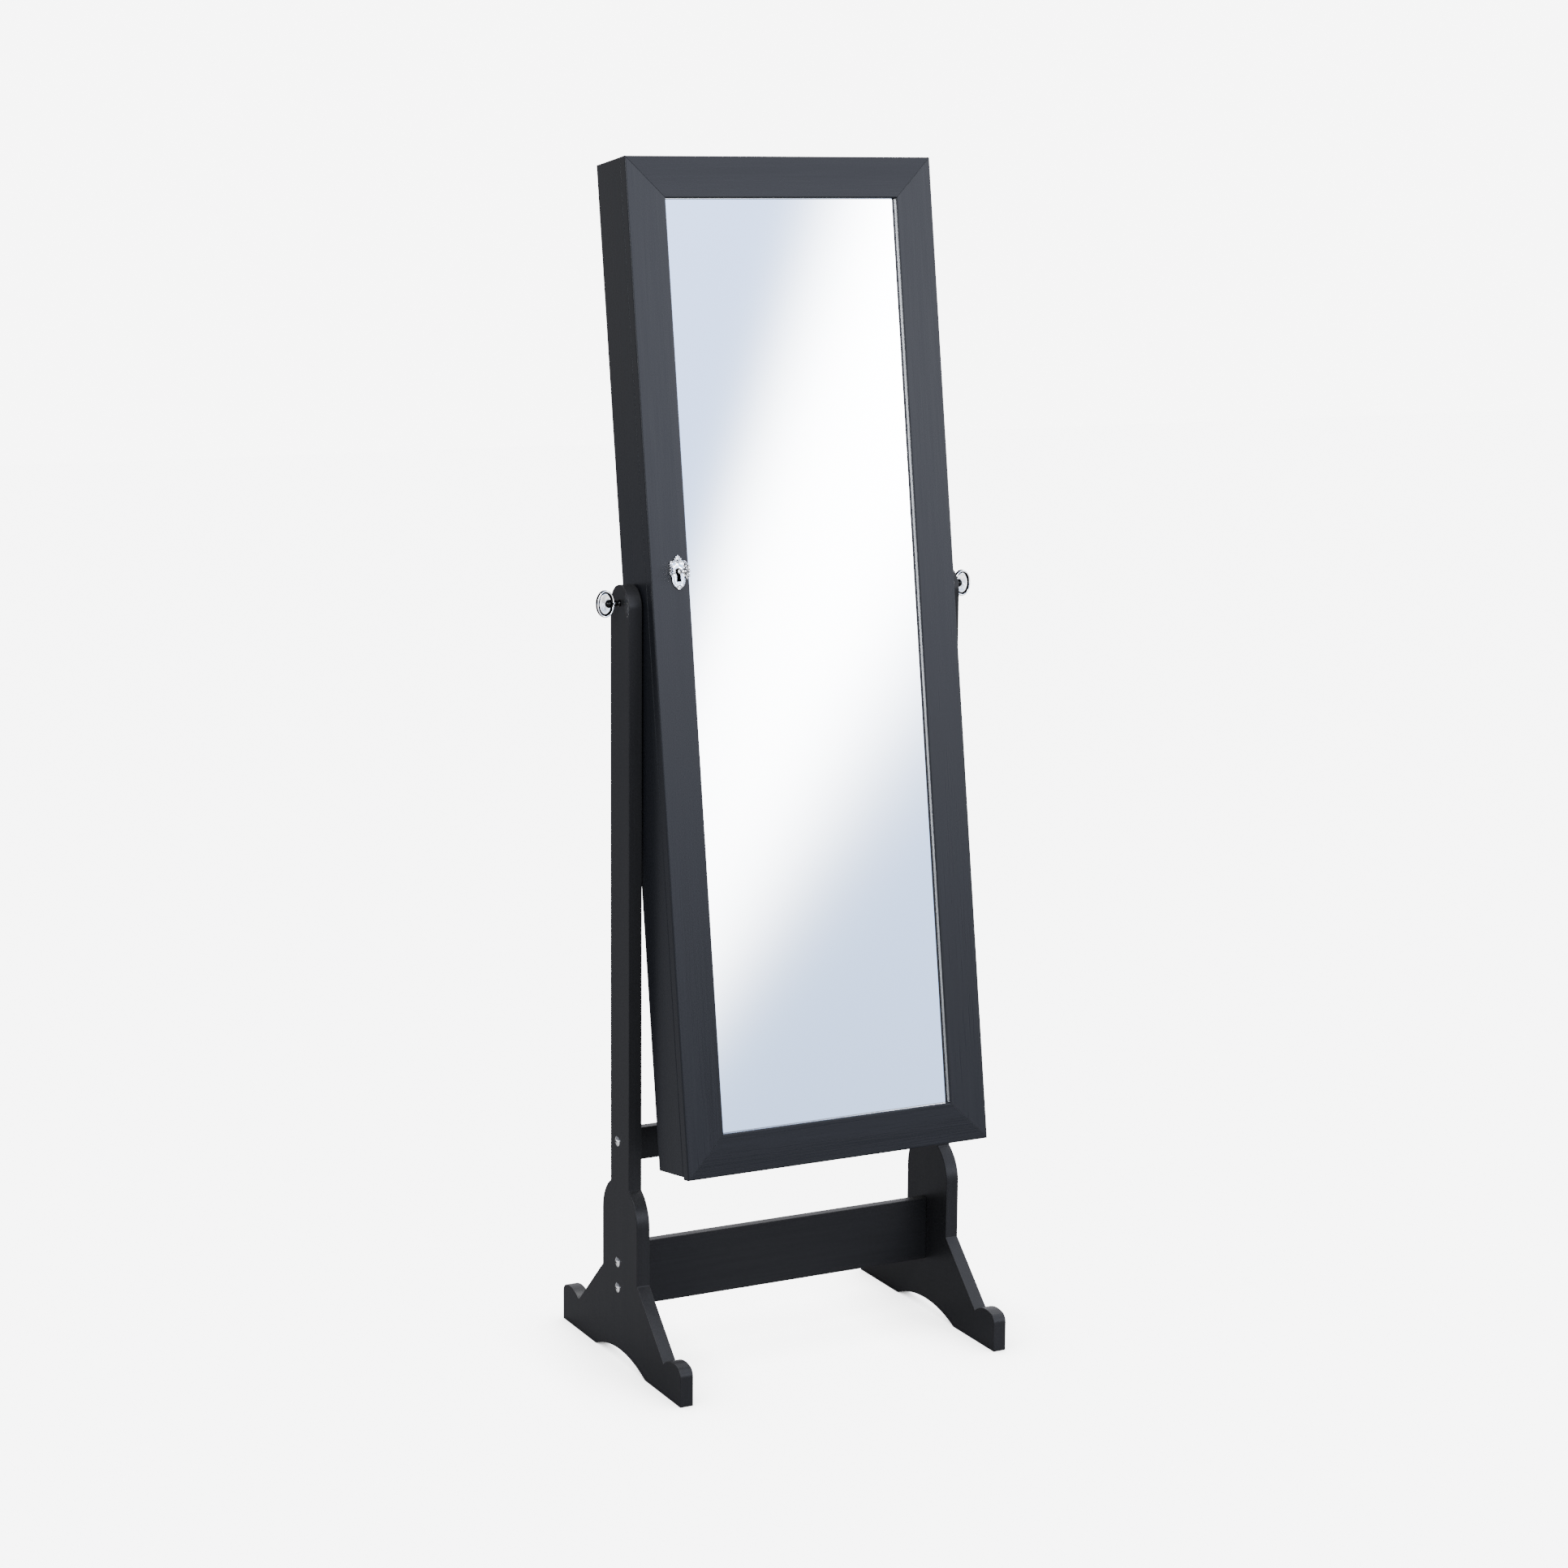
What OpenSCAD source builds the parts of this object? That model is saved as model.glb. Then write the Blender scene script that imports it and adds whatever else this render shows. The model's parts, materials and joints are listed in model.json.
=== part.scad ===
/* [Stand] */
// Width over the outer faces of the two side panels
stand_w = 467; // [440:1:500]
// Thickness of the side panels
panel_t = 18; // [16:1:20]
// Front-to-back length of the feet
foot_len = 361; // [340:1:400]
// Width of the upright posts, front to back
post_w = 55.5; // [50:0.5:60]
// Width of the plinth that carries each post, front to back
plinth_w = 105; // [100:1:112]
// Height of the tilting axis above the floor
pivot_z = 980; // [940:1:1040]
// Height of the lower rail
lower_rail_h = 84; // [76:1:96]
// Height of the upper rail
upper_rail_h = 42; // [36:1:44]
// Thickness of both rails
rail_t = 13; // [12:0.5:16]

/* [Mirror cabinet] */
// Angle by which the cabinet leans back from upright
lean = 8.7; // [4:0.1:14]
// Height of the mirror door
door_h = 1256; // [1200:1:1300]
// Height of the door's top edge above the tilting axis
door_rise = 542; // [500:1:580]
// Thickness of the door frame
door_t = 14; // [13:0.5:16]
// Width of the four boards of the door frame
frame_w = 52; // [48:1:58]
// Depth of the cabinet box behind the door
box_d = 70; // [66:1:80]
// Thickness of the cabinet boards
board_t = 12; // [11:0.5:14]
// Thickness of the mirror glass
glass_t = 3; // [2.5:0.5:3]

/* [Hardware] */
// Height of the oval thumb knobs
knob_h = 34; // [30:1:38]
// Width of the oval thumb knobs
knob_w = 24; // [20:1:26]
// Height of the keyhole plate
plate_h = 43; // [38:1:48]

/* [Hidden] */
$fn = 64;

// Stand
panel_in_x = stand_w / 2 - panel_t;
foot_x = foot_len / 2;
plinth_low_z = 115.5;
plinth_high_z = 191;
shoulder_r = 50;
splay_slope = 0.951;
foot_crown_r = 45;
foot_crown_z = 51;
foot_corner_r = 12;
corner_lift = 0.03;
foot_crown_back = 21.5;
foot_pad_len = 49;
arch_half = 76;
arch_h = 16;
post_head_drop = 5;
rail_y = 6;
lower_rail_z = 72;
upper_rail_z = 265;
bolt_r = 3;
bolt_head_r = 6.5;
bolt_head_t = 2.6;
bolt_len = 50;
bolt_zs = [97, 131, 291];
dowel_r = 4;
dowel_len = 30;
dowel_z = 275;
dowel_room = 0.5;
stud_r = 3;
fit = 0.05;

// Cabinet and door, in the frame of the tilting axis
side_gap = 2.5;
door_gap = 1;
door_w = stand_w - 2 * panel_t - 2 * side_gap;
door_x = door_w / 2;
door_front = -52;
door_back = door_front + door_t;
door_top = door_rise;
door_low = door_rise - door_h;
edge_r = 2;
lip_t = 7;
rebate_w = 8;
glass_play = 1;
backing_t = 3;
box_front = door_back + door_gap;
box_back = box_front + box_d;
box_low = door_low + 3;
box_in_x = door_x - board_t;
box_in_w = 2 * box_in_x;
floor_z = box_low + board_t;
ceiling_z = door_top - board_t;
back_t = 4;
back_inset = 1;
lining_t = 2;
clip_zs = [-560, -330, -130, 190, 380];
lining_y = box_back - back_inset - back_t - lining_t;

// Interior
shelf_front = -20;
shelf_t = 8;
shelf_lip_h = 10;
shelf_lip_t = 5;
shelf_zs = [170, 40, -110, -300];
divider_x = 67;
divider_t = 8;
tray_lip_h = 59;
hook_rail_w = 360;
hook_rail_t = 10;
hook_rail_h = 24;
hook_rail_zs = [470, -336];
hook_count = 9;
hook_pitch = 40;
hook_reach = 20;
hook_wire_r = 1.6;
roll_count = 6;
roll_r = 8;
roll_pitch = 15;
cushion_w = 390;
bracelet_r = 8;
bracelet_z = 112;
cup_r = 14;
cup_t = 4;

// Hardware
insert_r = 6;
washer_r = 10;
washer_t = 2.4;
hinge_zs = [430, -86, -600];
hinge_len = 50;
knuckle_r = 2.5;
knuckle_gap = 0.15;
knuckle_neck = 1.5;
hinge_pin_r = 1.1;
leaf_t = 0.8;
leaf_inset = 0.4;
leaf_reach = 4;
hinge_x = door_x + knuckle_r + 0.2;
hinge_y = door_back + door_gap / 2;
key_x = -(door_x - 37);
key_z = 34;
case_w = 40;
case_h = 56;
case_d = 12;
case_wall = 1.4;
case_left = -(box_in_x - 1);
case_low = key_z - case_h / 2;
bolt_bar_h = 14;
bolt_bar_t = 4;
bolt_bar_len = 12.5;
bolt_bar_y = door_back + 4;
bolt_throw = 6;
bolt_play = 0.1;
pocket_y = bolt_bar_y - 1;
pocket_d = bolt_bar_t + 3;
pocket_h = bolt_bar_h + 2;
pocket_room = 1.5;
keeper_t = 1;
keeper_half = 15;
magnet_drop = 40;
magnet_h = 40;
magnet_w = 12;
magnet_d = 14;
bit_len = 7.5;
bit_drop = 9;
bit_t = 2.2;
shaft_r = 2;
follower_t = 1.1;
follower_r = 7;
follower_gap = 0.2;
key_hole_r = 3.9;
key_slot_w = 5.2;
key_slot_drop = 11.8;
key_room = 1;
plate_t = 1.8;
plate_drop = 1;
bow_out = 24;
knob_out = 19.5;
hub_out = 14.5;
hub_r = 5;
knob_t = 6;
rim_w = 3;
dish = 1.4;
stem_r = 4;

black_paint = "#33353b";
cabinet_paint = "#40434b";

// Puts children that are drawn in the cabinet's own frame in place on the tilting axis
module leaning() {
    translate([0, 0, pivot_z]) rotate([-lean, 0, 0]) children();
}

// Repeats children, drawn on the right, on the left as well
module both_sides() {
    children();
    mirror([1, 0, 0]) children();
}

// A block given by its low corner and its high corner
module block(low, high) {
    translate(low) cube(high - low);
}

// A cylinder along X between two X positions
module rod_x(x0, x1, r) {
    translate([x0, 0, 0]) rotate([0, 90, 0]) cylinder(h = x1 - x0, r = r);
}

// A cylinder along Y between two Y positions
module rod_y(y0, y1, r) {
    translate([0, y0, 0]) rotate([-90, 0, 0]) cylinder(h = y1 - y0, r = r);
}

// Upper outline of one foot: a shallow crown that runs into a rounded toe.
// The toe's circle is lifted a hair, so that the two arcs cross instead of only touching.
module foot_pad() {
    crown_c = [foot_x - foot_crown_back, foot_crown_z - foot_crown_r];
    corner_x = foot_x - foot_corner_r;
    reach = foot_crown_r - foot_corner_r;
    rise = sqrt(pow(reach, 2) - pow(corner_x - crown_c[0], 2));
    corner_c = [corner_x, crown_c[1] + rise + corner_lift];
    touch_x = crown_c[0] + foot_crown_r * (corner_x - crown_c[0]) / reach;
    pad_x = foot_x - foot_pad_len;
    intersection() {
        translate(crown_c) circle(r = foot_crown_r, $fn = 128);
        translate([pad_x, 0]) square([touch_x - pad_x, foot_crown_z]);
    }
    translate(corner_c) circle(r = foot_corner_r);
    translate([pad_x, 0]) square([foot_x - pad_x, corner_c[1]]);
    translate([touch_x - foot_corner_r, 0]) square([foot_corner_r, corner_c[1]]);
}

// Half of a side panel's outline, on the side of positive Y
module half_outline() {
    half_plinth = plinth_w / 2;
    pad_x = foot_x - foot_pad_len;
    square([post_w / 2, pivot_z - post_head_drop]);
    square([half_plinth, plinth_high_z]);
    intersection() {
        translate([half_plinth - shoulder_r, plinth_high_z]) circle(r = shoulder_r, $fn = 128);
        translate([0, plinth_high_z]) square([half_plinth, shoulder_r]);
    }
    polygon([
        [0, 0],
        [pad_x + 1, 0],
        [pad_x + 1, plinth_low_z - (pad_x + 1 - half_plinth) * splay_slope],
        [half_plinth, plinth_low_z],
        [0, plinth_low_z]
    ]);
    foot_pad();
}

// Outline of a side panel: round-headed post, shouldered plinth, splayed feet and a low arch
module panel_outline() {
    arch_r = (pow(arch_half, 2) + pow(arch_h, 2)) / (2 * arch_h);
    difference() {
        union() {
            half_outline();
            mirror([1, 0]) half_outline();
            translate([0, pivot_z - post_head_drop]) circle(r = post_w / 2);
        }
        translate([0, arch_h - arch_r]) circle(r = arch_r, $fn = 256);
    }
}

module side_panel() {
    difference() {
        translate([panel_in_x, 0, 0]) rotate([90, 0, 90]) linear_extrude(panel_t) panel_outline();
        translate([0, 0, pivot_z]) rod_x(panel_in_x - 1, stand_w / 2 + 1, stud_r + fit);
        for (z = bolt_zs) {
            translate([0, rail_y, z]) rod_x(panel_in_x - 1, stand_w / 2 + 1, bolt_r + fit);
        }
        translate([0, rail_y, dowel_z]) {
            rod_x(panel_in_x - 1, panel_in_x + dowel_len / 3 + dowel_room, dowel_r + fit);
        }
    }
}

module side_panel_left() {
    color(black_paint) mirror([1, 0, 0]) side_panel();
}

module side_panel_right() {
    color(black_paint) side_panel();
}

// A rail between the panels, bored at both ends for bolts and dowels
module rail(z, height) {
    bolt_bore = bolt_len - panel_t + 2;
    dowel_bore = dowel_len * 2 / 3 + dowel_room;
    difference() {
        block([-panel_in_x, rail_y - rail_t / 2, z], [panel_in_x, rail_y + rail_t / 2, z + height]);
        both_sides() translate([0, rail_y, 0]) {
            for (bolt_z = bolt_zs) {
                translate([0, 0, bolt_z]) rod_x(panel_in_x - bolt_bore, panel_in_x + 1, bolt_r + fit);
            }
            translate([0, 0, dowel_z]) rod_x(panel_in_x - dowel_bore, panel_in_x + 1, dowel_r + fit);
        }
    }
}

module upper_rail() {
    color(black_paint) rail(upper_rail_z, upper_rail_h);
}

module lower_rail() {
    color(black_paint) rail(lower_rail_z, lower_rail_h);
}

// A bolt along X with a domed head, crossed by two driver slots
module rail_bolt() {
    dome_r = 11;
    slot_len = 6;
    slot_w = 1.2;
    slot_floor = 1;
    difference() {
        rotate([0, 90, 0]) rotate_extrude() {
            translate([0, -bolt_len]) square([bolt_r, bolt_len]);
            intersection() {
                translate([0, bolt_head_t - dome_r]) circle(r = dome_r);
                square([bolt_head_r, bolt_head_t]);
            }
        }
        for (a = [0, 90]) {
            rotate([a, 0, 0]) translate([slot_floor, -slot_len / 2, -slot_w / 2]) {
                cube([bolt_head_t, slot_len, slot_w]);
            }
        }
    }
}

module rail_bolts() {
    color("silver") both_sides() {
        for (z = bolt_zs) {
            translate([stand_w / 2, rail_y, z]) rail_bolt();
        }
    }
}

module rail_dowels() {
    color("burlywood") both_sides() {
        translate([0, rail_y, dowel_z]) {
            rod_x(panel_in_x - dowel_len * 2 / 3, panel_in_x + dowel_len / 3, dowel_r);
        }
    }
}

// Right-hand board of the box, with the hole for the pivot insert
module box_side() {
    difference() {
        block([box_in_x, box_front, box_low], [door_x, box_back, door_top]);
        rod_x(box_in_x - 1, door_x + 1, insert_r + fit);
    }
}

// The lock bolt's way into the left board, between two depths measured from the board's inner face
module bolt_pocket(depth) {
    block(
        [-box_in_x - depth, pocket_y, key_z - pocket_h / 2],
        [-box_in_x + 1, pocket_y + pocket_d - 1, key_z + pocket_h / 2]
    );
}

// The keeper's outline, out to a given X
module keeper_block(high_x) {
    block(
        [-box_in_x - keeper_t, pocket_y - 2, key_z - keeper_half],
        [high_x, pocket_y + pocket_d + 1, key_z + keeper_half]
    );
}

module cabinet_left() {
    color(cabinet_paint) leaning() difference() {
        mirror([1, 0, 0]) box_side();
        bolt_pocket(bolt_throw + pocket_room);
        keeper_block(1 - box_in_x);
    }
}

module cabinet_right() {
    color(cabinet_paint) leaning() difference() {
        box_side();
        for (z = hinge_zs) {
            block(
                [box_in_x - 1, box_front - 1, z - hinge_len / 2 - fit],
                [door_x + 1, box_front + leaf_inset, z + hinge_len / 2 + fit]
            );
        }
    }
}

module cabinet_top() {
    color(cabinet_paint) leaning() {
        block([-box_in_x, box_front, ceiling_z], [box_in_x, box_back, door_top]);
    }
}

module cabinet_bottom() {
    color(cabinet_paint) leaning() {
        block([-box_in_x, box_front, box_low], [box_in_x, box_back, floor_z]);
    }
}

module cabinet_back() {
    y = lining_y + lining_t;
    color("#2c2d30") leaning() block([-box_in_x, y, floor_z], [box_in_x, y + back_t, ceiling_z]);
}

module back_lining() {
    color("#26262a") leaning() {
        block([-box_in_x, lining_y, floor_z], [box_in_x, lining_y + lining_t, ceiling_z]);
    }
}

// A shelf with a low lip along its front edge
module shelf(z) {
    color("#2b2c30") leaning() {
        block([-box_in_x, shelf_front, z], [box_in_x, lining_y, z + shelf_t]);
        translate([-box_in_x, shelf_front, z]) cube([box_in_w, shelf_lip_t, shelf_t + shelf_lip_h]);
    }
}

// An upright divider between the second and the third shelf
module divider(side) {
    color("#2b2c30") leaning() {
        block(
            [side * divider_x - divider_t / 2, shelf_front + shelf_lip_t, shelf_zs[2] + shelf_t],
            [side * divider_x + divider_t / 2, lining_y, shelf_zs[1]]
        );
    }
}

module tray_lip() {
    color("#2b2c30") leaning() {
        translate([-box_in_x, shelf_front, floor_z]) cube([box_in_w, divider_t, tray_lip_h]);
    }
}

module hook_rail(z) {
    color("#2b2c30") leaning() {
        translate([-hook_rail_w / 2, lining_y - hook_rail_t, z]) cube([hook_rail_w, hook_rail_t, hook_rail_h]);
    }
}

// One hook: a rose, an arm that reaches forward and an upturned end with a ball
module hook() {
    rose_r = 5;
    rose_t = 1.5;
    tip_h = 9;
    ball_r = 2.6;
    rod_y(-rose_t, 0, rose_r);
    rod_y(-hook_reach, 0, hook_wire_r);
    translate([0, -hook_reach, 0]) {
        sphere(r = hook_wire_r);
        cylinder(h = tip_h, r = hook_wire_r);
        translate([0, 0, tip_h]) sphere(r = ball_r);
    }
}

module hook_row(rail_z) {
    first_x = -(hook_count - 1) * hook_pitch / 2;
    wall_y = lining_y - hook_rail_t;
    color("gainsboro") leaning() {
        for (i = [0 : hook_count - 1]) {
            translate([first_x + i * hook_pitch, wall_y, rail_z + hook_rail_h / 2]) hook();
        }
    }
}

// Ring cushion: a stack of padded rolls on a padded board, standing on the top shelf
module ring_cushion() {
    seat_z = shelf_zs[0] + shelf_t;
    board_h = (roll_count - 1) * roll_pitch + 2 * roll_r;
    color("#3a3a3f") leaning() {
        block([-cushion_w / 2, lining_y - roll_r, seat_z], [cushion_w / 2, lining_y, seat_z + board_h]);
        for (i = [0 : roll_count - 1]) {
            translate([0, lining_y - roll_r, seat_z + roll_r + i * roll_pitch]) {
                rod_x(-cushion_w / 2, cushion_w / 2, roll_r);
            }
        }
    }
}

module bracelet_bar() {
    half = box_in_x - 1;
    color("#3a3a3f") leaning() translate([0, 0, bracelet_z]) rod_x(-half, half, bracelet_r);
}

module bar_cups() {
    color("silver") leaning() translate([0, 0, bracelet_z]) both_sides() difference() {
        rod_x(box_in_x - cup_t, box_in_x, cup_r);
        rod_x(box_in_x - cup_t - 1, box_in_x - 1, bracelet_r + fit);
    }
}

module pivot_inserts() {
    color("goldenrod") leaning() both_sides() difference() {
        rod_x(box_in_x, door_x, insert_r);
        rod_x(box_in_x - 1, door_x + 1, stud_r + fit);
    }
}

module pivot_washers() {
    color("#26262a") leaning() both_sides() difference() {
        rod_x(door_x, door_x + washer_t, washer_r);
        rod_x(door_x - 1, door_x + washer_t + 1, stud_r + 4 * fit);
    }
}

// Plate let into the left board, with the slot that takes the lock bolt
module lock_keeper() {
    color("silver") leaning() difference() {
        keeper_block(-box_in_x);
        bolt_pocket(keeper_t + 1);
    }
}

module magnet_catch() {
    color("#d9d9d6") leaning() {
        translate([-box_in_x, box_front + 1, ceiling_z - magnet_drop - magnet_h]) {
            cube([magnet_w, magnet_d, magnet_h]);
        }
    }
}

// Steel plate on the door that the magnet holds, a little smaller than the magnet
module strike_plate() {
    strike_t = door_gap + 0.8;
    color("silver") leaning() {
        translate([1 - box_in_x, door_back, ceiling_z - magnet_drop - magnet_h + 2]) {
            cube([magnet_w - 2, strike_t, magnet_h - 4]);
        }
    }
}

// Knuckles of one hinge: the cabinet carries the two outer ones, the door the middle one
module knuckles(z, spans) {
    third = hinge_len / 3;
    for (i = spans) {
        low_gap = i > 0 ? knuckle_gap : 0;
        high_gap = i < 2 ? knuckle_gap : 0;
        translate([hinge_x, hinge_y, z - hinge_len / 2 + i * third + low_gap]) {
            cylinder(h = third - low_gap - high_gap, r = knuckle_r);
        }
    }
}

module hinge_bore(z) {
    translate([hinge_x, hinge_y, z - hinge_len]) cylinder(h = 2 * hinge_len, r = hinge_pin_r + fit);
}

module cabinet_hinge_leaves() {
    knuckle_h = hinge_len / 3 - knuckle_gap;
    low_x = box_in_x + 1;
    y = box_front + leaf_inset - leaf_t;
    color("silver") leaning() for (z = hinge_zs) difference() {
        union() {
            knuckles(z, [0, 2]);
            translate([low_x, y, z - hinge_len / 2]) cube([door_x - low_x, leaf_t, hinge_len]);
            for (z0 = [z - hinge_len / 2, z + hinge_len / 2 - knuckle_h]) {
                translate([low_x, y, z0]) cube([hinge_x - knuckle_neck - low_x, leaf_t, knuckle_h]);
            }
        }
        hinge_bore(z);
    }
}

module door_hinge_leaves() {
    knuckle_h = hinge_len / 3 - 2 * knuckle_gap;
    low_x = box_in_x - leaf_reach;
    y = door_back - leaf_inset;
    color("silver") leaning() for (z = hinge_zs) difference() {
        union() {
            knuckles(z, [1]);
            translate([low_x, y, z - hinge_len / 2]) cube([door_x - low_x, leaf_t, hinge_len]);
            translate([low_x, y, z - knuckle_h / 2]) {
                cube([hinge_x - knuckle_neck - low_x, leaf_t, knuckle_h]);
            }
        }
        hinge_bore(z);
    }
}

// Hinge pins, each with a small head above and below the knuckles
module hinge_pins() {
    head_r = 2;
    head_t = 1.5;
    head_gap = 0.5;
    color("silver") leaning() for (z = hinge_zs) translate([hinge_x, hinge_y, z]) {
        translate([0, 0, -hinge_len / 2 - 1]) cylinder(h = hinge_len + 2, r = hinge_pin_r);
        translate([0, 0, -hinge_len / 2 - head_gap - head_t]) cylinder(h = head_t, r = head_r);
        translate([0, 0, hinge_len / 2 + head_gap]) cylinder(h = head_t, r = head_r);
    }
}

module door_bumpers() {
    corner_off = 14;
    bumper_r = 4;
    bumper_gap = 0.05;
    color("#e4e2dc") leaning() for (z = [ceiling_z - corner_off, floor_z + corner_off]) {
        translate([-box_in_x - board_t / 2, 0, z]) rod_y(door_back + bumper_gap, box_front, bumper_r);
    }
}

// Section of a door board: rounded front edges, and a rebate behind for the glass
module board_section() {
    difference() {
        union() {
            translate([edge_r, 0]) square([door_t - edge_r, frame_w]);
            translate([0, edge_r]) square([door_t, frame_w - 2 * edge_r]);
            translate([edge_r, edge_r]) circle(r = edge_r);
            translate([edge_r, frame_w - edge_r]) circle(r = edge_r);
        }
        translate([lip_t, frame_w - rebate_w]) square([door_t, rebate_w + 1]);
    }
}

// A door board along X, mitred at both ends, with its outer edge at the bottom
module door_board(length) {
    intersection() {
        rotate([90, 0, 90]) linear_extrude(length) board_section();
        translate([0, door_t + 1, 0]) rotate([90, 0, 0]) linear_extrude(door_t + 2) {
            polygon([[0, 0], [length, 0], [length - frame_w, frame_w], [frame_w, frame_w]]);
        }
    }
}

module door_rail_top() {
    color(cabinet_paint) leaning() {
        translate([door_x, door_front, door_top]) rotate([0, 180, 0]) door_board(door_w);
    }
}

module door_rail_bottom() {
    color(cabinet_paint) leaning() {
        translate([-door_x, door_front, door_low]) door_board(door_w);
    }
}

// Keyhole outline with room to spare on every side, round above and slotted below, as a solid along Y
module keyhole(y0, y1, room) {
    half_w = key_slot_w / 2 + room / 2;
    rod_y(y0, y1, key_hole_r + room);
    block([-half_w, y0, -key_slot_drop - room / 2], [half_w, y1, 0]);
}

module door_stile_left() {
    color(cabinet_paint) leaning() difference() {
        translate([-door_x, door_front, door_top]) rotate([0, 90, 0]) door_board(door_h);
        translate([key_x, 0, key_z]) keyhole(door_front - 1, door_back + 1, key_room);
    }
}

module door_stile_right() {
    color(cabinet_paint) leaning() difference() {
        translate([door_x, door_front, door_low]) rotate([0, -90, 0]) door_board(door_h);
        for (z = hinge_zs) {
            block(
                [box_in_x - leaf_reach - fit, door_back - leaf_inset, z - hinge_len / 2 - fit],
                [door_x + 1, door_back + 1, z + hinge_len / 2 + fit]
            );
        }
    }
}

// A sheet that fills the door's rebate, less the play around it
module rebate_sheet(y, thick) {
    inset = frame_w - rebate_w + glass_play;
    block(
        [-door_x + inset, y, door_low + inset],
        [door_x - inset, y + thick, door_top - inset]
    );
}

module mirror_glass() {
    color("lightsteelblue") leaning() rebate_sheet(door_front + lip_t, glass_t);
}

module mirror_backing() {
    color("#4a4038") leaning() rebate_sheet(door_front + lip_t + glass_t, backing_t);
}

// Small plates on the back of the door that hold the backing in the rebate
module backing_clips() {
    clip_w = 14;
    clip_t = 0.9;
    clip_len = 16;
    edge_x = door_x - frame_w + rebate_w;
    color("silver") leaning() for (z = clip_zs) both_sides() {
        translate([edge_x - clip_len / 2, door_back, z - clip_w / 2]) cube([clip_len, clip_t, clip_w]);
    }
}

// Box lock on the back of the left stile: a case with a slot for the bolt, a keyhole and a spindle bore
module lock_case() {
    low = [case_left, door_back, case_low];
    high = [case_left + case_w, door_back + case_d, case_low + case_h];
    wall = [case_wall, case_wall, case_wall];
    slot_half = bolt_bar_h / 2 + bolt_play;
    color("silver") leaning() difference() {
        block(low, high);
        block(low + wall, high - wall);
        block(
            [case_left - 1, bolt_bar_y - bolt_play, key_z - slot_half],
            [case_left + case_wall + 1, bolt_bar_y + bolt_bar_t + bolt_play, key_z + slot_half]
        );
        translate([key_x, 0, key_z]) {
            keyhole(door_back - 1, door_back + 2, key_room);
            rod_y(door_back + 2, door_back + case_d + 1, shaft_r + fit);
        }
    }
}

// Ornamental keyhole plate: a shield where two circles overlap, with a round crest above and below
module keyhole_plate() {
    crest_r = 5;
    crest_off = plate_h / 2 - crest_r;
    shield_r = 23;
    shield_off = 11;
    color("silver") leaning() translate([key_x, door_front - plate_t, key_z - plate_drop]) difference() {
        union() {
            intersection() {
                translate([-shield_off, 0, 0]) rod_y(0, plate_t, shield_r);
                translate([shield_off, 0, 0]) rod_y(0, plate_t, shield_r);
            }
            translate([0, 0, -crest_off]) rod_y(0, plate_t, crest_r);
            translate([0, 0, crest_off]) rod_y(0, plate_t, crest_r);
        }
        translate([0, 0, plate_drop]) keyhole(-1, plate_t + 1, 0);
    }
}

// Domed heads of the two pins that hold the plate
module plate_pins() {
    pin_off = 17.5;
    pin_r = 1.6;
    pin_t = 1.2;
    dome_r = 2;
    color("silver") leaning() translate([key_x, door_front - plate_t, key_z - plate_drop]) {
        for (z = [-pin_off, pin_off]) translate([0, 0, z]) intersection() {
            rod_y(-pin_t, 0, pin_r);
            translate([0, dome_r - pin_t, 0]) sphere(r = dome_r);
        }
    }
}

module lock_bolt() {
    color("gold") leaning() {
        block(
            [case_left, bolt_bar_y, key_z - bolt_bar_h / 2],
            [case_left + bolt_bar_len, bolt_bar_y + bolt_bar_t, key_z + bolt_bar_h / 2]
        );
    }
}

// Follower that the key turns: a disc with a spindle in the back of the lock case
module lock_follower() {
    disc_y = door_back + case_d - case_wall - follower_gap - follower_t;
    color("gold") leaning() translate([key_x, 0, key_z]) {
        rod_y(disc_y, disc_y + follower_t, follower_r);
        rod_y(disc_y, door_back + case_d + 0.5, shaft_r);
    }
}

// Key: round shaft, bit below it, collar, and a pierced three-lobed bow that stands upright
module key() {
    tip_y = door_back + case_d - case_wall - 2 * follower_gap - follower_t - 0.1;
    bow_y = door_front - bow_out;
    collar_y = door_front - 8;
    collar_t = 2;
    collar_r = 3.2;
    lobe_r = 6.2;
    lobe_off = 4.6;
    lobe_out = 4.4;
    bow_half_t = 1.5;
    eye_r = 3.2;
    front_eye_r = 1.7;
    front_eye_out = 6.6;
    color("silver") leaning() translate([key_x, 0, key_z]) {
        rod_y(bow_y + 3, tip_y, shaft_r);
        rod_y(collar_y, collar_y + collar_t, collar_r);
        block([-bit_t / 2, tip_y - bit_len, -bit_drop], [bit_t / 2, tip_y - 0.6, 0]);
        translate([0, bow_y, 0]) difference() {
            union() {
                translate([0, 0, -lobe_off]) rod_x(-bow_half_t, bow_half_t, lobe_r);
                translate([0, 0, lobe_off]) rod_x(-bow_half_t, bow_half_t, lobe_r);
                translate([0, -lobe_out, 0]) rod_x(-bow_half_t, bow_half_t, lobe_r);
            }
            translate([0, 0, -lobe_off]) rod_x(-bow_half_t - 1, bow_half_t + 1, eye_r);
            translate([0, 0, lobe_off]) rod_x(-bow_half_t - 1, bow_half_t + 1, eye_r);
            translate([0, -front_eye_out, 0]) rod_x(-bow_half_t - 1, bow_half_t + 1, front_eye_r);
        }
    }
}

// Oval outline of a thumb knob
module oval(w, h) {
    step = 7.5;
    polygon([for (a = [0 : step : 360 - step]) [w / 2 * cos(a), h / 2 * sin(a)]]);
}

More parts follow.
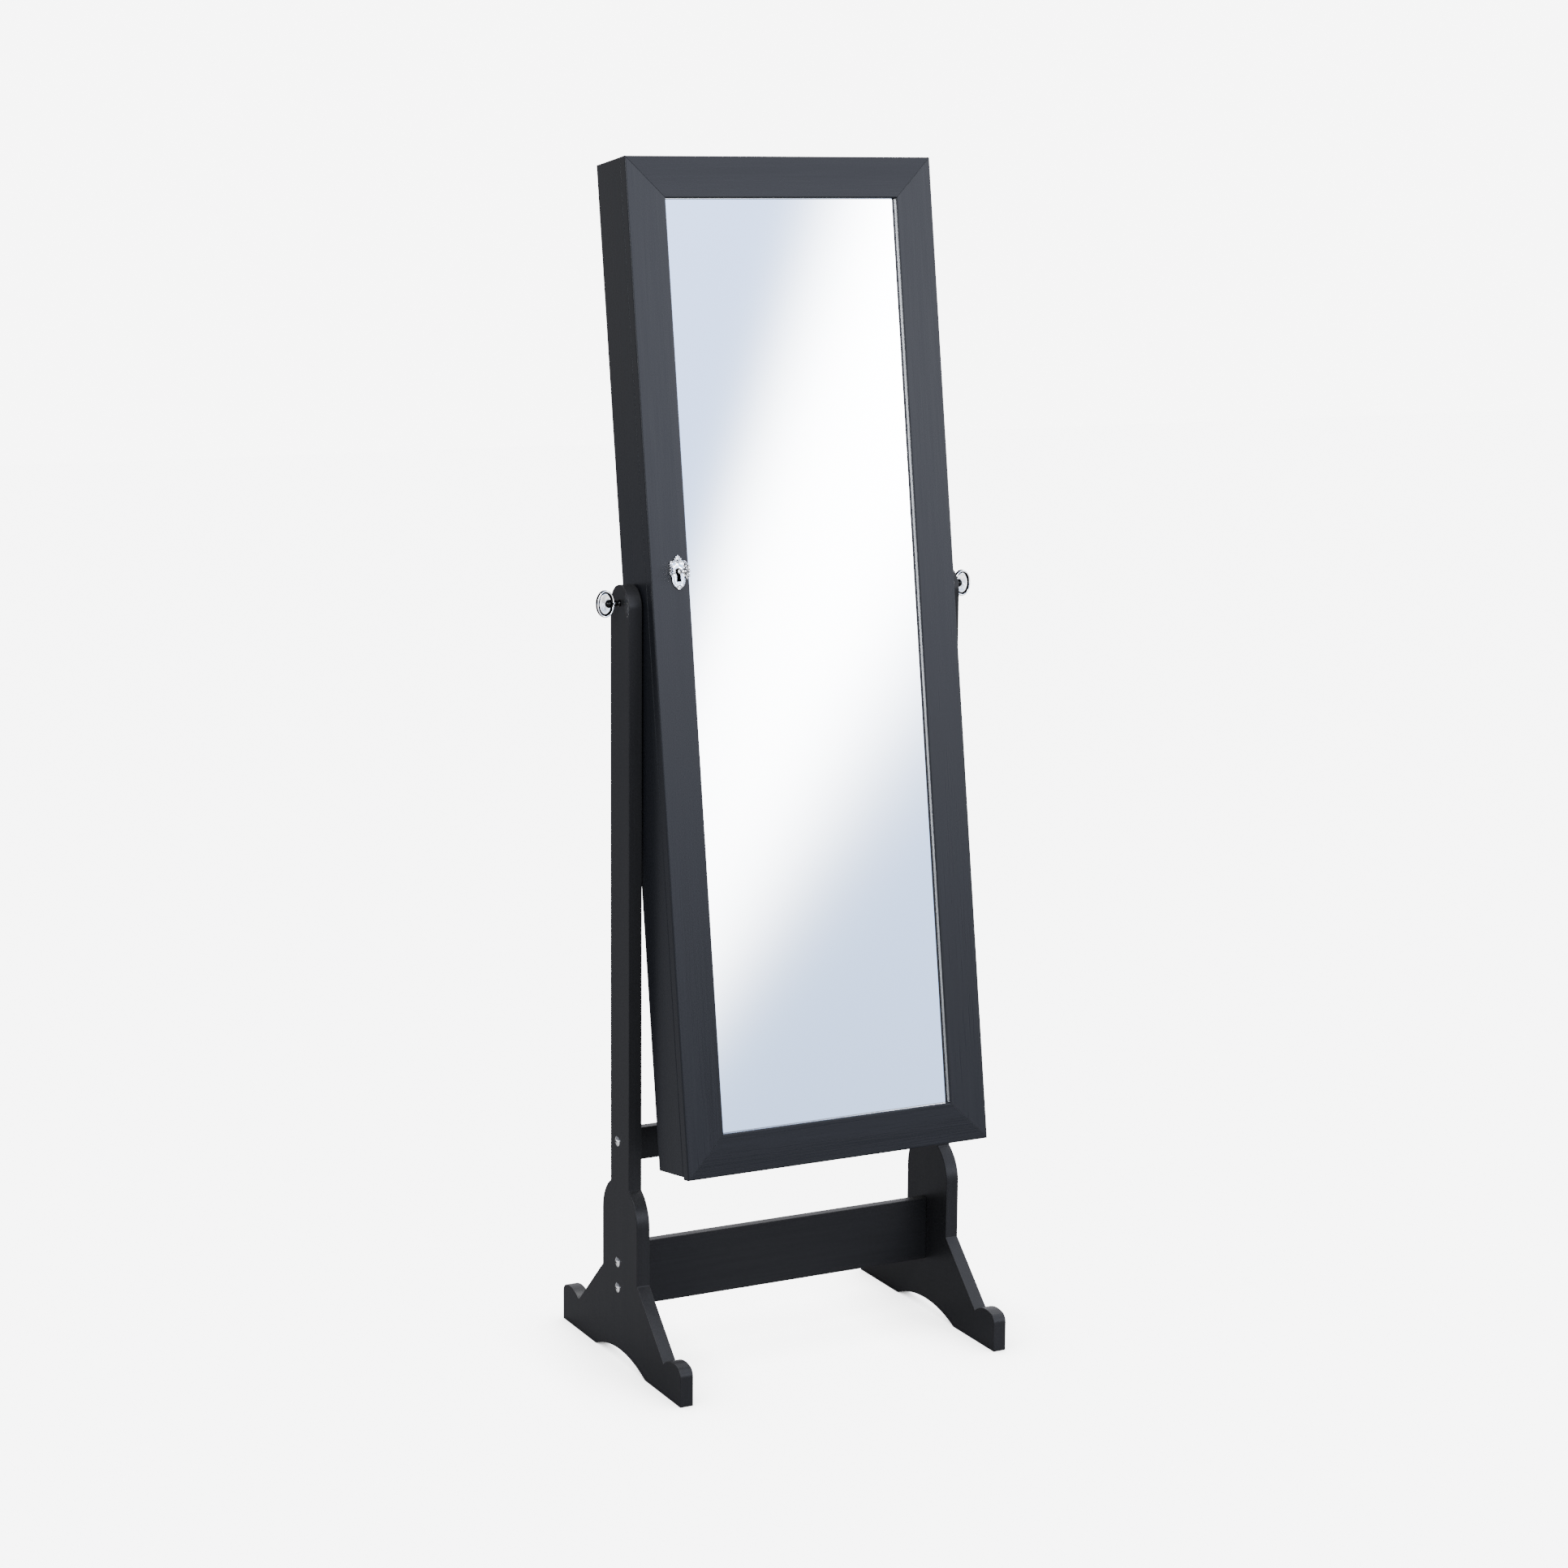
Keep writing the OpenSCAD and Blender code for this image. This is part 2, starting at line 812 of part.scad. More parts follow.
// Thumb knob on the right: threaded stud, stem, ball hub and a dished oval that faces the front
module knob() {
    face_x = stand_w / 2;
    oval_x = face_x + knob_out;
    collar_t = 2;
    collar_r = 6.5;
    rod_x(box_in_x + 1, face_x, stud_r);
    rod_x(face_x, face_x + collar_t, collar_r);
    rod_x(face_x, face_x + hub_out, stem_r);
    translate([face_x + hub_out, 0, 0]) sphere(r = hub_r);
    difference() {
        translate([oval_x, knob_t / 2, 0]) rotate([90, 0, 0]) linear_extrude(knob_t) oval(knob_w, knob_h);
        for (y = [-knob_t / 2 + dish, knob_t / 2 + 1]) {
            translate([oval_x, y, 0]) rotate([90, 0, 0]) {
                linear_extrude(dish + 1) oval(knob_w - 2 * rim_w, knob_h - 2 * rim_w);
            }
        }
    }
}

module knob_right() {
    color("silver") translate([0, 0, pivot_z]) knob();
}

module knob_left() {
    color("silver") translate([0, 0, pivot_z]) mirror([1, 0, 0]) knob();
}

side_panel_left();
side_panel_right();
upper_rail();
lower_rail();
rail_bolts();
rail_dowels();
cabinet_left();
cabinet_right();
cabinet_top();
cabinet_bottom();
cabinet_back();
back_lining();
shelf(shelf_zs[0]);  // shelf_1
shelf(shelf_zs[1]);  // shelf_2
shelf(shelf_zs[2]);  // shelf_3
shelf(shelf_zs[3]);  // shelf_4
divider(-1);  // divider_left
divider(1);  // divider_right
tray_lip();
hook_rail(hook_rail_zs[0]);  // hook_rail_upper
hook_rail(hook_rail_zs[1]);  // hook_rail_lower
hook_row(hook_rail_zs[0]);  // hooks_upper
hook_row(hook_rail_zs[1]);  // hooks_lower
ring_cushion();
bracelet_bar();
bar_cups();
pivot_inserts();
pivot_washers();
lock_keeper();
magnet_catch();
cabinet_hinge_leaves();
door_bumpers();
door_rail_top();
door_rail_bottom();
door_stile_left();
door_stile_right();
mirror_glass();
mirror_backing();
backing_clips();
door_hinge_leaves();
hinge_pins();
strike_plate();
lock_case();
keyhole_plate();
plate_pins();
lock_bolt();
lock_follower();
key();
knob_left();
knob_right();
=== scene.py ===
"""Looks of the cheval mirror cabinet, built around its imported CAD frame.

Pieces are drawn in millimetres: those of the cabinet and its door in the leaning frame of the tilting axis
(x to the right, y to the back, z up along the cabinet), and those of the stand in the row frame.
"""

import json
import math

import bmesh
import bpy
from mathutils import Euler, Matrix, Vector


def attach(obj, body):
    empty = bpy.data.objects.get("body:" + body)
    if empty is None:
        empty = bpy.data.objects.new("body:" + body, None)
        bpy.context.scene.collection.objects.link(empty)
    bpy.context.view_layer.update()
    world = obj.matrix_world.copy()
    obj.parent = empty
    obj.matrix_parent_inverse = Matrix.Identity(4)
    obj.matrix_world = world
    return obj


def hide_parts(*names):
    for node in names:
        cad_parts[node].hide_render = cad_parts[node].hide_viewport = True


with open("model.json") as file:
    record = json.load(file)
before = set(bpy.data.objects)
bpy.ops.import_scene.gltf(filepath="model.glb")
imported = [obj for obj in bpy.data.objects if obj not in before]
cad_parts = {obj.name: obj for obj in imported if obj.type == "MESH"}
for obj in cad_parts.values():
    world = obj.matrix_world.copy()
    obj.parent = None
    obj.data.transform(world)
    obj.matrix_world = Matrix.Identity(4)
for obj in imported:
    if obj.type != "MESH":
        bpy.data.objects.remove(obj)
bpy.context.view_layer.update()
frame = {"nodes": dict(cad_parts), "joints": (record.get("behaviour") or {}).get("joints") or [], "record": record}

MM = 0.001
BACKGROUND = 7.5
TURN = 2 * math.pi
JOINTS = {joint["name"]: joint for joint in frame["joints"]}
BODIES = frame["record"]["behaviour"]["bodies"]
SLOTS = {part["node"]: part["material_slot"] for part in frame["record"]["subparts"]}


def leaning_frame():
    """The matrix from the cabinet's own frame to the row frame, read from the joints."""
    up = Vector(JOINTS["door_swing"]["axis"]).normalized()
    back = -Vector(JOINTS["key_pull"]["axis"]).normalized()
    place = Matrix((Vector((1, 0, 0)), back, up)).transposed().to_4x4()
    place.translation = Vector(JOINTS["tilt"]["pos_m"])
    return place


LEANING = leaning_frame()
UPRIGHT = Matrix.Identity(4)
LEAN = math.atan2(JOINTS["door_swing"]["axis"][1], JOINTS["door_swing"]["axis"][2])


def box_mm(node, place=UPRIGHT):
    """Low and high corner of a CAD node in millimetres, in the row frame or in the leaning one."""
    back = place.inverted()
    points = [back @ v.co / MM for v in frame["nodes"][node].data.vertices]
    low = Vector(min(p[i] for p in points) for i in range(3))
    high = Vector(max(p[i] for p in points) for i in range(3))
    return low, high


# ---------------------------------------------------------------- materials

class Nodes:
    """Short names for the shader nodes that the materials and the studio's surround are made of."""

    def __init__(self, name, kind="materials", shader="Principled BSDF"):
        self.material = getattr(bpy.data, kind).new(name)
        self.material.use_nodes = True
        self.tree = self.material.node_tree
        self.shader = self.tree.nodes[shader]

    def add(self, kind, **settings):
        node = self.tree.nodes.new(kind)
        for key, value in settings.items():
            setattr(node, key, value)
        return node

    def link(self, source, target):
        """Sets a socket to a number or a colour, or joins it to another node's socket."""
        if isinstance(source, (int, float, tuple)):
            target.default_value = source
        elif source is not None:
            self.tree.links.new(source, target)

    def set(self, **values):
        for key, value in values.items():
            self.link(value, self.shader.inputs[key.replace("_", " ")])

    def coordinates(self, scale=(1, 1, 1), lean=0.0):
        """Object coordinates in metres, turned upright by lean and stretched by scale."""
        place = self.add("ShaderNodeTexCoord").outputs["Object"]
        upright = self.add("ShaderNodeMapping", vector_type="POINT")
        upright.inputs["Rotation"].default_value = Euler((lean, 0, 0))
        self.link(place, upright.inputs["Vector"])
        stretch = self.add("ShaderNodeMapping", vector_type="POINT")
        stretch.inputs["Scale"].default_value = scale
        self.link(upright.outputs["Vector"], stretch.inputs["Vector"])
        return stretch.outputs["Vector"]

    def noise(self, vector, scale, detail=3.0, roughness=0.55):
        node = self.add("ShaderNodeTexNoise")
        self.link(vector, node.inputs["Vector"])
        node.inputs["Scale"].default_value = scale
        node.inputs["Detail"].default_value = detail
        node.inputs["Roughness"].default_value = roughness
        return node.outputs["Fac"]

    def scaled(self, value, low, high, to_low=0.0, to_high=1.0):
        """Takes the range from low to high to the range from to_low to to_high, and clamps beyond it."""
        node = self.add("ShaderNodeMapRange")
        for key, number in (("From Min", low), ("From Max", high), ("To Min", to_low), ("To Max", to_high)):
            node.inputs[key].default_value = number
        self.link(value, node.inputs["Value"])
        return node.outputs["Result"]

    def math(self, operation, a, b=None, c=None):
        node = self.add("ShaderNodeMath", operation=operation)
        for value, socket in zip((a, b, c), node.inputs):
            self.link(value, socket)
        return node.outputs[0]

    def blend(self, factor, a, b):
        """Colour a where factor is 0 and colour b where it is 1."""
        node = self.add("ShaderNodeMix", data_type="RGBA")
        self.link(factor, node.inputs["Factor"])
        self.link(a, node.inputs["A"])
        self.link(b, node.inputs["B"])
        return node.outputs["Result"]

    def grey(self, value):
        """A value as a neutral colour."""
        node = self.add("ShaderNodeCombineColor")
        for socket in node.inputs:
            self.link(value, socket)
        return node.outputs[0]

    def bump(self, height, distance, strength=1.0):
        node = self.add("ShaderNodeBump")
        node.inputs["Strength"].default_value = strength
        node.inputs["Distance"].default_value = distance
        self.link(height, node.inputs["Height"])
        self.link(node.outputs["Normal"], self.shader.inputs["Normal"])

    def edges(self, radius):
        """1 on a convex or concave edge and 0 on a flat face."""
        rounded = self.add("ShaderNodeBevel", samples=4)
        rounded.inputs["Radius"].default_value = radius
        plain = self.add("ShaderNodeNewGeometry").outputs["Normal"]
        dot = self.add("ShaderNodeVectorMath", operation="DOT_PRODUCT")
        self.link(rounded.outputs["Normal"], dot.inputs[0])
        self.link(plain, dot.inputs[1])
        return self.scaled(dot.outputs["Value"], 0.995, 0.90)


def shade(colour, factor):
    """A colour made lighter or darker."""
    return tuple(min(1.0, channel * factor) for channel in colour) + (1.0,)


def lacquer(name, colour, along, lean=0.0, roughness=0.34, specular=0.5, grain=0.12):
    """Satin lacquer over an open grain that runs along one axis, a little rubbed on the edges."""
    n = Nodes(name)
    fine = [620.0, 620.0, 620.0]
    fine["XYZ".index(along)] = 9.0
    broad = [46.0, 46.0, 46.0]
    broad["XYZ".index(along)] = 1.4
    fibres = n.noise(n.coordinates(fine, lean), 1.0, 4.0, 0.6)
    figure = n.noise(n.coordinates(broad, lean), 1.0, 3.0, 0.5)
    cloud = n.noise(n.coordinates((1, 1, 1), lean), 3.2, 2.0)
    streaks = n.math("MULTIPLY_ADD", fibres, 0.6, n.math("MULTIPLY", figure, 0.4))
    tone = n.scaled(streaks, 0.34, 0.66)
    body = n.blend(tone, shade(colour, 1 - grain), shade(colour, 1 + grain))
    body = n.blend(n.scaled(cloud, 0.35, 0.7, 0.0, 0.35), body, shade(colour, 1.25))
    worn = n.math("MULTIPLY", n.edges(0.0012), n.scaled(n.noise(n.coordinates(), 60.0), 0.45, 0.65))
    n.set(Base_Color=n.blend(n.math("MULTIPLY", worn, 0.35), body, shade(colour, 3.2)))
    n.set(Roughness=n.scaled(streaks, 0.3, 0.7, roughness - 0.05, roughness + 0.07))
    n.set(Specular_IOR_Level=specular)
    n.bump(streaks, 0.0001, 0.1)
    return n.material


def metal(name, colour, roughness, spread=0.05, brushed=None, lean=0.0):
    """Polished or brushed metal with fine scratches."""
    n = Nodes(name)
    scale = [900.0, 900.0, 900.0]
    if brushed:
        scale["XYZ".index(brushed)] = 14.0
    scratches = n.noise(n.coordinates(scale, lean), 1.0, 3.0)
    clouds = n.noise(n.coordinates(), 90.0, 2.0)
    n.set(Base_Color=n.blend(clouds, shade(colour, 0.93), shade(colour, 1.04)))
    n.set(Metallic=1.0)
    n.set(Roughness=n.scaled(scratches, 0.3, 0.7, max(0.02, roughness - spread), roughness + spread))
    n.bump(scratches, 0.00002 if brushed else 0.000004, 0.4)
    return n.material


def chrome(name, colour):
    """Polished plating with clear reflections, with shade painted into its colour in its hollows and towards its
    outline.
    """
    n = Nodes(name)
    scratches = n.noise(n.coordinates((900, 900, 900)), 1.0, 3.0)
    clouds = n.noise(n.coordinates(), 90.0, 2.0)
    around = n.add("ShaderNodeAmbientOcclusion", samples=8, only_local=True)
    around.inputs["Distance"].default_value = 0.006
    facing = n.add("ShaderNodeLayerWeight").outputs["Facing"]
    # painted shade: the plating turns dark where ambient occlusion finds a hollow and where the surface turns
    # edge-on to the view
    unshaded_share = n.math("MULTIPLY", n.scaled(around.outputs["AO"], 0.55, 0.95), n.scaled(facing, 0.8, 0.35))
    plate = n.blend(clouds, shade(colour, 0.95), shade(colour, 1.04))
    n.set(Base_Color=n.blend(unshaded_share, shade(colour, 0.05), plate))
    n.set(Metallic=1.0)
    n.set(Roughness=0.0)
    n.bump(scratches, 0.000004, 0.4)
    return n.material


def silvered_glass(name, colour):
    """A mirror's face, all but free of marks."""
    n = Nodes(name)
    haze = n.noise(n.coordinates(), 5.0, 2.0)
    n.set(Base_Color=n.blend(haze, shade(colour, 0.985), shade(colour, 1.01)))
    n.set(Metallic=1.0)
    n.set(Roughness=0.0)
    return n.material


def velvet(name, colour):
    """Short pile that catches light at a glancing angle, brushed here and there."""
    n = Nodes(name)
    pile = n.noise(n.coordinates(), 1900.0, 2.0)
    brushed = n.noise(n.coordinates((1, 1, 0.55)), 26.0, 3.0, 0.6)
    base = n.blend(pile, shade(colour, 0.6), shade(colour, 1.4))
    n.set(Base_Color=n.blend(n.scaled(brushed, 0.42, 0.62, 0.0, 0.5), base, shade(colour, 2.2)))
    n.set(Roughness=n.scaled(brushed, 0.3, 0.7, 0.86, 0.98))
    n.set(Specular_IOR_Level=0.15, Sheen_Weight=0.7, Sheen_Roughness=0.35)
    n.set(Sheen_Tint=(0.75, 0.76, 0.85, 1.0))
    n.bump(pile, 0.0003, 0.7)
    return n.material


def board(name, colour):
    """Hardboard: short pressed fibres."""
    n = Nodes(name)
    fibres = n.noise(n.coordinates((1, 1, 0.4)), 420.0, 5.0, 0.7)
    n.set(Base_Color=n.blend(n.scaled(fibres, 0.35, 0.68), shade(colour, 0.7), shade(colour, 1.5)))
    n.set(Roughness=n.scaled(fibres, 0.3, 0.7, 0.7, 0.85))
    n.bump(fibres, 0.0002, 0.5)
    return n.material


def plastic(name, colour, roughness):
    """Moulded plastic with a fine spark-eroded grain."""
    n = Nodes(name)
    grain = n.noise(n.coordinates(), 1500.0, 2.0)
    n.set(Base_Color=n.blend(grain, shade(colour, 0.9), shade(colour, 1.1)))
    n.set(Roughness=n.scaled(grain, 0.3, 0.7, roughness - 0.05, roughness + 0.05))
    n.bump(grain, 0.00008, 0.5)
    return n.material


COLOURS = {entry["slot"]: tuple(entry["base_color"]) for entry in frame["record"]["materials"]}
STAND = COLOURS["stand_lacquer"]
CABINET = COLOURS["cabinet_lacquer"]
INSIDE = COLOURS["inner_lacquer"]

MATERIALS = {
    "stand_upright": lacquer("stand_upright", STAND, "Z", roughness=0.36, specular=0.4),
    "stand_across": lacquer("stand_across", STAND, "X", roughness=0.36, specular=0.4),
    "cabinet_upright": lacquer("cabinet_upright", CABINET, "Z", LEAN, roughness=0.28),
    "cabinet_across": lacquer("cabinet_across", CABINET, "X", LEAN, roughness=0.28, specular=0.4),
    "inside_upright": lacquer("inside_upright", INSIDE, "Z", LEAN, roughness=0.5, specular=0.3),
    "inside_across": lacquer("inside_across", INSIDE, "X", LEAN, roughness=0.5, specular=0.3),
    "back_board": board("back_board", COLOURS["back_board"]),
    "velvet": velvet("velvet", COLOURS["velvet"]),
    "silvered_glass": silvered_glass("silvered_glass", COLOURS["silvered_glass"]),
    "chrome_trim": chrome("chrome_trim", COLOURS["chrome_trim"]),
    # a near-black copy of the chrome, put on parts as painted shade and painted dark reflection
    "smoked_chrome": chrome("smoked_chrome", shade(COLOURS["chrome_trim"], 0.01)[:3]),
    "bright_steel": chrome("bright_steel", COLOURS["bright_steel"]),
    "lock_steel": metal("lock_steel", COLOURS["lock_steel"], 0.32, 0.08, "Z", LEAN),
    "insert_brass": metal("insert_brass", COLOURS["insert_brass"], 0.22, 0.06),
    "black_nylon": plastic("black_nylon", COLOURS["black_nylon"], 0.5),
    "white_plastic": plastic("white_plastic", COLOURS["white_plastic"], 0.45),
    "beech": lacquer("beech", COLOURS["beech"], "X", roughness=0.55, specular=0.3),
}

ACROSS = ("upper_rail", "lower_rail", "cabinet_top", "cabinet_bottom", "door_rail_top", "door_rail_bottom")
INSIDE_UPRIGHT = ("divider_left", "divider_right")


def finish_of(node):
    """The material of a CAD node: its record slot, with the grain along the board."""
    slot = SLOTS[node]
    if slot == "stand_lacquer":
        return MATERIALS["stand_across" if node in ACROSS else "stand_upright"]
    if slot == "cabinet_lacquer":
        return MATERIALS["cabinet_across" if node in ACROSS else "cabinet_upright"]
    if slot == "inner_lacquer":
        return MATERIALS["inside_upright" if node in INSIDE_UPRIGHT else "inside_across"]
    return MATERIALS[slot]


def dress_cad_nodes():
    for node, obj in frame["nodes"].items():
        obj.data.materials.clear()
        obj.data.materials.append(finish_of(node))


def soften(node, width):
    """Rounds a CAD node's sharp edges with modifiers, so that its arrises catch the light."""
    obj = frame["nodes"][node]
    weld = obj.modifiers.new("weld", "WELD")
    weld.merge_threshold = 1e-5
    flat = obj.modifiers.new("flat", "DECIMATE")
    flat.decimate_type = "DISSOLVE"
    flat.angle_limit = math.radians(0.4)
    bevel = obj.modifiers.new("bevel", "BEVEL")
    bevel.width = width * MM
    bevel.segments = 2
    bevel.limit_method = "ANGLE"
    bevel.angle_limit = math.radians(32)
    bevel.use_clamp_overlap = False
    normals = obj.modifiers.new("normals", "WEIGHTED_NORMAL")
    normals.weight = 60


# ------------------------------------------------------------- mesh helpers

def add_piece(name, bm, place, material, body, slot, *replaced):
    """Makes a piece of a bmesh drawn in millimetres, which rides on a body and may stand for CAD nodes."""
    bm.transform(place @ Matrix.Scale(MM, 4))
    bmesh.ops.recalc_face_normals(bm, faces=bm.faces)
    mesh = bpy.data.meshes.new(name)
    bm.to_mesh(mesh)
    bm.free()
    mesh.polygons.foreach_set("use_smooth", [True] * len(mesh.polygons))
    obj = bpy.data.objects.new(name, mesh)
    bpy.context.scene.collection.objects.link(obj)
    mesh.materials.append(MATERIALS[material])
    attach(obj, body)
    if replaced:
        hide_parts(*replaced)
    return obj


def second_finish(obj, material, chosen):
    """Gives a second material to the faces that chosen() picks."""
    obj.data.materials.append(MATERIALS[material])
    for face in obj.data.polygons:
        face.material_index = int(chosen(face))


def loft(bm, rings, closed=False, caps=True):
    """Skins rings of points. A closed loft joins its last ring to its first, and an open one has caps."""
    rows = [[bm.verts.new(p) for p in ring] for ring in rings]
    pairs = list(zip(rows, rows[1:]))
    if closed:
        pairs.append((rows[-1], rows[0]))
    for a, b in pairs:
        for i in range(len(a)):
            j = (i + 1) % len(a)
            bm.faces.new((a[i], a[j], b[j], b[i]))
    if caps and not closed:
        bm.faces.new(rows[0])
        bm.faces.new(list(reversed(rows[-1])))


def turned(bm, profile, place=UPRIGHT, sides=32):
    """A solid turned about the z axis of place, from (height, radius) points."""
    rings = []
    for height, radius in profile:
        angles = [TURN * i / sides for i in range(sides)]
        rings.append([place @ Vector((radius * math.cos(a), radius * math.sin(a), height)) for a in angles])
    loft(bm, rings)


def arc(centre, radius, start, end, steps):
    """(height, radius) points of a round stretch of a turned profile, by angles in degrees."""
    points = []
    for i in range(steps + 1):
        angle = math.radians(start + (end - start) * i / steps)
        points.append((centre[0] + radius * math.cos(angle), centre[1] + radius * math.sin(angle)))
    return points


def ball(bm, centre, radius, sides=20):
    """A ball of rings, which stop a little short of its poles."""
    rings = 10
    short = 0.08
    points = []
    for i in range(rings + 1):
        angle = math.pi * (i + short) / (rings + 2 * short)
        points.append((-radius * math.cos(angle), radius * math.sin(angle)))
    turned(bm, points, Matrix.Translation(centre), sides)


def swept(bm, path, radius, closed=False):
    """A round tube along a path. radius is one number or a function of the share of the path."""
    sides = 12
    points = [Vector(p) for p in path]
    count = len(points)
    rings = []
    side = None
    for i, point in enumerate(points):
        before = points[i - 1] if i > 0 or closed else point
        after = points[(i + 1) % count] if i < count - 1 or closed else point
        along = (after - before).normalized()
        if side is None:
            side = along.orthogonal().normalized()
        side = (side - along * side.dot(along)).normalized()
        other = along.cross(side)
        r = radius(i / (count - 1)) if callable(radius) else radius
        angles = [TURN * k / sides for k in range(sides)]
        rings.append([point + side * (r * math.cos(a)) + other * (r * math.sin(a)) for a in angles])
    loft(bm, rings, closed=closed)


# ------------------------------------------------------------------- knobs

def knob_oval(bm, centre, half_w, half_h, half_t):
    """The oval of a thumb knob: a raised round rim about a dish with fine rays, alike on both faces.

    The rim is given by its distance in from the outline and its share of the half thickness.
    """
    sides = 144
    rim = [(0.0, 0.50), (0.2, 0.80), (0.6, 0.96), (1.3, 1.0), (2.0, 0.96), (2.5, 0.80)]
    groove = [(2.8, 0.45), (3.1, 0.12), (3.5, 0.10), (3.8, 0.22), (4.1, 0.42)]
    dish_steps = 10
    rays = 36
    ray_height = 0.07
    face = []
    for inset, depth in rim + groove:
        face.append((inset, 1.0, depth * half_t, 0.0))
    for i in range(1, dish_steps + 1):
        share = 1 - i / dish_steps
        hollow = 0.42 - 0.22 * (1 - share ** 2)
        ray = ray_height * math.sin(math.pi * share)
        face.append((groove[-1][0], max(share, 0.03), hollow * half_t, ray))
    rings = []
    for sign, rows in ((1, reversed(face)), (-1, face)):
        for inset, share, depth, ray in rows:
            ring = []
            for i in range(sides):
                angle = TURN * i / sides
                x = (half_w - inset) * share * math.cos(angle)
                z = (half_h - inset) * share * math.sin(angle)
                y = sign * (depth + ray * math.cos(rays * angle))
                ring.append(centre + Vector((x, y, z)))
            rings.append(ring)
    loft(bm, rings)


def knob(name, side):
    """Chrome thumb knob: threaded stud, flange, waisted stem with a bead, ball and oval."""
    low, high = box_mm(f"knob_{name}")
    panel_low, panel_high = box_mm(f"side_panel_{name}")
    ends = sorted((abs(low.x), abs(high.x)))
    face_x = max(abs(panel_low.x), abs(panel_high.x))
    axis = (low + high) / 2
    half_h = (high.z - low.z) / 2
    half_w = half_h * 12 / 17
    oval_x = ends[1] - half_w
    hub_x = oval_x - 5
    hub_r = 5.2
    bm = bmesh.new()
    knob_oval(bm, Vector((side * oval_x, axis.y, axis.z)), half_w, half_h, (high.y - low.y) / 2 * 0.46)
    out = Matrix.Translation((0, axis.y, axis.z)) @ Matrix.Rotation(side * math.pi / 2, 4, "Y")
    stem = [(ends[0], 2.2), (ends[0] + 0.8, 3.0), (face_x, 3.0), (face_x, 4.2), (face_x + 0.3, 4.5)]
    stem += [(face_x + 1.4, 4.5), (face_x + 1.8, 4.2), (face_x + 2.3, 3.6), (face_x + 3.4, 3.2)]
    stem += [(face_x + 4.6, 3.1)] + arc((face_x + 6.2, 3.0), 1.3, 170, 10, 6) + [(face_x + 8.0, 3.1)]
    stem += arc((hub_x, 0), hub_r, 144, 3, 14)
    turned(bm, stem, out)
    node = f"knob_{name}"
    obj = add_piece(f"thumb_{node}", bm, UPRIGHT, "chrome_trim", node, "chrome_trim", node)
    hub = Vector((side * hub_x, axis.y, axis.z))
    oval = Vector((side * oval_x, axis.y, axis.z))

    def painted_dark(face):
        """The ball and the stem, the rim's outline and the groove inside the rim, which get near-black chrome as a
        painted dark reflection.
        """
        centre = face.center / MM
        from_oval = centre - oval
        across, up = from_oval.x / half_w, from_oval.z / half_h
        share = math.hypot(across, up)
        inset = (1 - share) * (half_w * across ** 2 + half_h * up ** 2) / max(share, 0.01) ** 2
        if share > 1.001 or (centre - hub).length < hub_r + 0.05:
            return True
        return inset < 0.6 or 2.3 < inset < 4.1

    # painted dark reflection: the chosen faces get the near-black chrome
    second_finish(obj, "smoked_chrome", painted_dark)
    return obj


# ------------------------------------------------------- keyhole plate, key

def smooth_outline(points, steps):
    """Catmull-Rom curve through a closed outline."""
    count = len(points)
    made = []
    for i in range(count):
        a, b, c, d = (Vector(points[(i + k - 1) % count]) for k in range(4))
        for s in range(steps):
            t = s / steps
            made.append(0.5 * ((2 * b) + (c - a) * t + (2 * a - 5 * b + 4 * c - d) * t ** 2
                               + (3 * b - a - 3 * c + d) * t ** 3))
    return made


def keyhole_reach(direction, eye):
    """How far the keyhole reaches from its eye in a direction.

    It is a round hole over a slot that widens downwards.
    """
    round_r, slot_top, slot_low, half_top, half_low = 4.0, -2.0, -11.9, 2.3, 2.8
    b = direction.dot(eye)
    reach = -b + math.sqrt(b * b - eye.length_squared + round_r ** 2)
    if direction.y < 0:
        to_floor = (slot_low - eye.y) / direction.y
        slope = (half_low - half_top) / (slot_top - slot_low)
        across = abs(direction.x) + direction.y * slope
        to_wall = (half_top + slope * (slot_top - eye.y)) / across if across > 1e-6 else to_floor
        reach = max(reach, min(to_floor, to_wall))
    return reach


def plate_relief(x, z, edge):
    """Height of the plate's face at a point. edge runs from 0 at the keyhole to 1 at the outline."""
    height = 1.15 + 0.45 * math.sin(math.pi * min(1.0, edge * 1.15)) ** 0.7
    height += 0.5 * math.exp(-((edge - 0.93) / 0.045) ** 2)
    height += 0.35 * math.exp(-((edge - 0.07) / 0.06) ** 2)
    for top, low_z, rays in ((1, 11.2, 11), (-1, -14.6, 7)):
        depth = top * (z - low_z)
        if depth > 0:
            fade = min(1.0, depth / 2.2)
            fan = math.atan2(x, depth + 0.6)
            height += fade * (0.42 * math.cos(rays * fan) * min(1.0, edge * 1.4) + 0.25)
    for spot_x, spot_z, radius in ((0, 13.4, 1.7), (0, -17.2, 1.3), (9.9, 11.4, 1.7), (-9.9, 11.4, 1.7)):
        near = math.hypot(x - spot_x, z - spot_z) / radius
        if near < 1:
            height += 0.75 * math.sqrt(1 - near ** 2)
        else:
            height -= 0.3 * math.exp(-((near - 1.2) / 0.25) ** 2)
    if -4.5 < z < 9.5 and abs(x) > 6.2:
        fade = min(1.0, (abs(x) - 6.2) / 1.4) * min(1.0, (z + 4.5) / 1.5, (9.5 - z) / 1.5)
        height += 0.5 * fade * math.sin(TURN * (z + 0.75 * abs(x)) / 3.1)
    return height


